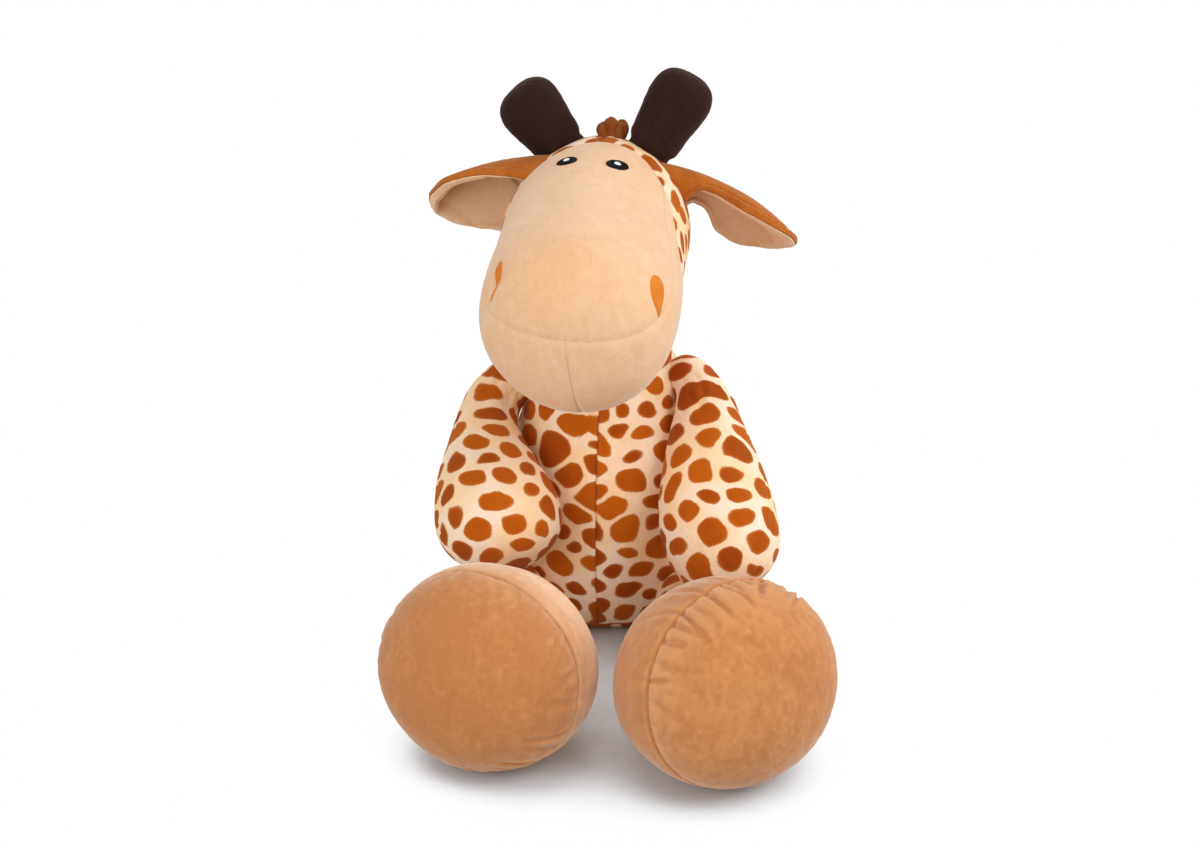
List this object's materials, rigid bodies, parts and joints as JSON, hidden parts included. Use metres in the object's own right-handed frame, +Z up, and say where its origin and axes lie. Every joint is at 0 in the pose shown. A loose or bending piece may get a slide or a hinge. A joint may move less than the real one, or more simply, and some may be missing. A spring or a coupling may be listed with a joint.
{
  "type": "plush giraffe",
  "caption": "Sitting stuffed toy giraffe with a large muzzle, club horns, curled ears, drop-shaped arms and ball feet.",
  "frame": {"origin": "middle of the flat seat on the underside of the body, on the floor", "axes": "+Z up, -Y the way the toy faces, +X to the toy's own left"},
  "size_m": [0.3665, 0.5854, 0.4768],
  "materials": {
    "spotted_plush": "short pile plush printed with rust-brown patches on cream",
    "cream_plush": "short pile plush",
    "tan_plush": "short pile plush",
    "rust_plush": "short pile plush",
    "dark_plush": "short pile plush",
    "black_thread": "satin embroidery",
    "white_thread": "satin embroidery",
    "orange_felt": "sewn patch",
    "fibre_fill": "loose fibre",
    "pellet_cloth": "woven bag of pellets"
  },
  "bodies": {
    "body": {"body_front_left": "spotted_plush", "body_front_right": "spotted_plush", "body_back": "spotted_plush", "body_base": "spotted_plush", "body_stuffing": "fibre_fill", "pellet_bag": "pellet_cloth"},
    "neck": {"neck_cover": "spotted_plush", "neck_stuffing": "fibre_fill"},
    "head": {"face_panel": "cream_plush", "chin_left": "cream_plush", "chin_right": "cream_plush", "head_back_left": "spotted_plush", "head_back_right": "spotted_plush", "head_stuffing": "fibre_fill", "left_eye": "black_thread", "right_eye": "black_thread", "left_eye_highlight": "white_thread", "right_eye_highlight": "white_thread", "left_nostril": "orange_felt", "right_nostril": "orange_felt", "left_horn_cover": "dark_plush", "left_horn_stuffing": "fibre_fill", "right_horn_cover": "dark_plush", "right_horn_stuffing": "fibre_fill", "hair_tuft": "rust_plush", "mane": "rust_plush"},
    "left_ear": {"left_ear_outer": "rust_plush", "left_ear_lining": "cream_plush"},
    "right_ear": {"right_ear_outer": "rust_plush", "right_ear_lining": "cream_plush"},
    "left_arm": {"left_arm_cover": "spotted_plush", "left_arm_stuffing": "fibre_fill"},
    "right_arm": {"right_arm_cover": "spotted_plush", "right_arm_stuffing": "fibre_fill"},
    "left_leg": {"left_leg_cover": "spotted_plush", "left_leg_stuffing": "fibre_fill", "left_foot_cover": "tan_plush", "left_sole_panel": "tan_plush", "left_foot_stuffing": "fibre_fill"},
    "right_leg": {"right_leg_cover": "spotted_plush", "right_leg_stuffing": "fibre_fill", "right_foot_cover": "tan_plush", "right_sole_panel": "tan_plush", "right_foot_stuffing": "fibre_fill"},
    "tail": {"tail_cord": "spotted_plush", "tail_tuft": "rust_plush"}
  },
  "joints": [
    {"name": "neck_turn", "type": "hinge", "parent": "body", "child": "neck", "pos_m": [0, 0, 0.245], "axis": [0, 0, 1], "range_deg": [-25, 25], "stiffness_Nm_per_rad": 0.5},
    {"name": "head_nod", "type": "hinge", "parent": "neck", "child": "head", "pos_m": [0, 0, 0.35], "axis": [-1, 0, 0], "range_deg": [0, 20]},
    {"name": "left_ear_flap", "type": "hinge", "parent": "head", "child": "left_ear", "pos_m": [0.04698, 0.004, 0.39586], "axis": [0, -1, 0], "range_deg": [-18, 30], "stiffness_Nm_per_rad": 0.02},
    {"name": "right_ear_flap", "type": "hinge", "parent": "head", "child": "right_ear", "pos_m": [-0.05736, 0.004, 0.39586], "axis": [0, 1, 0], "range_deg": [-18, 30], "stiffness_Nm_per_rad": 0.02},
    {"name": "left_arm_raise", "type": "hinge", "parent": "body", "child": "left_arm", "pos_m": [0.05115, 0, 0.24092], "axis": [0, -1, 0], "range_deg": [0, 60]},
    {"name": "right_arm_raise", "type": "hinge", "parent": "body", "child": "right_arm", "pos_m": [-0.05115, 0, 0.24092], "axis": [0, 1, 0], "range_deg": [0, 60]},
    {"name": "left_leg_swing", "type": "hinge", "parent": "body", "child": "left_leg", "pos_m": [0.074, -0.052, 0], "axis": [0.9767, 0.2147, 0], "range_deg": [0, 75]},
    {"name": "right_leg_swing", "type": "hinge", "parent": "body", "child": "right_leg", "pos_m": [-0.074, -0.052, 0], "axis": [0.9943, 0.1063, 0], "range_deg": [0, 75]},
    {"name": "tail_swing", "type": "hinge", "parent": "body", "child": "tail", "pos_m": [0, 0.0784, 0.0465], "axis": [1, 0, 0], "range_deg": [0, 70]}
  ]
}
